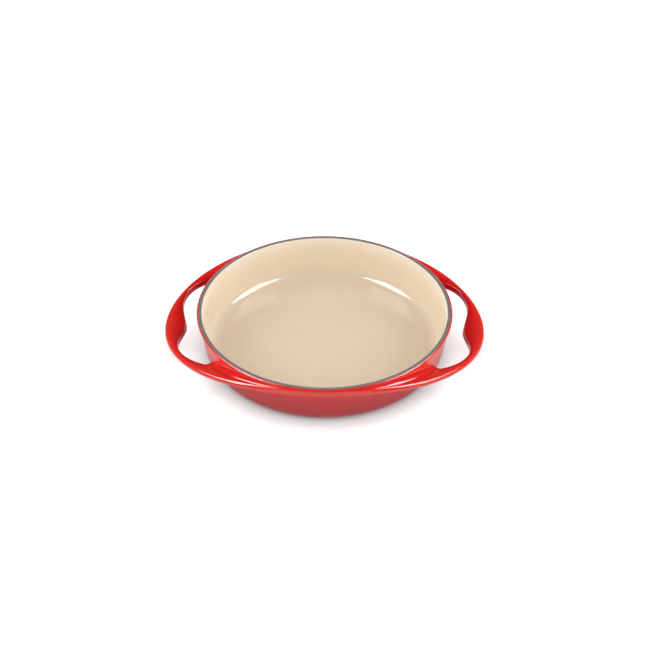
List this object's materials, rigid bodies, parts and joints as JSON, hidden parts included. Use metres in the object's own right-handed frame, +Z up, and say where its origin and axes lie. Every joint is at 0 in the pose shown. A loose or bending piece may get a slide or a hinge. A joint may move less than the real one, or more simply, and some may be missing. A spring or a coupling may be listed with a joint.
{
  "type": "tarte tatin dish",
  "caption": "Round shallow enamelled cast-iron baking dish with leaning walls, a bare grey rim and a drooping loop handle with a broad grip on each side.",
  "frame": {"origin": "middle of the flat underside, on the surface that the dish stands on", "axes": "+X out through the right handle, +Y towards the back, +Z up through the open top"},
  "size_m": [0.3262, 0.2602, 0.0476],
  "materials": {
    "iron": "as-cast grey iron under the coats",
    "red_enamel": "glossy red vitreous enamel with an orange cast at its edges",
    "sand_enamel": "glossy pale sand vitreous enamel",
    "ground_coat": "matt grey ground coat, slightly rough"
  },
  "bodies": {
    "root": {"pan_casting": "iron", "left_handle_casting": "iron", "right_handle_casting": "iron", "outer_enamel": "red_enamel", "base_enamel": "red_enamel", "lining_enamel": "sand_enamel", "rim_band": "ground_coat"}
  },
  "joints": []
}
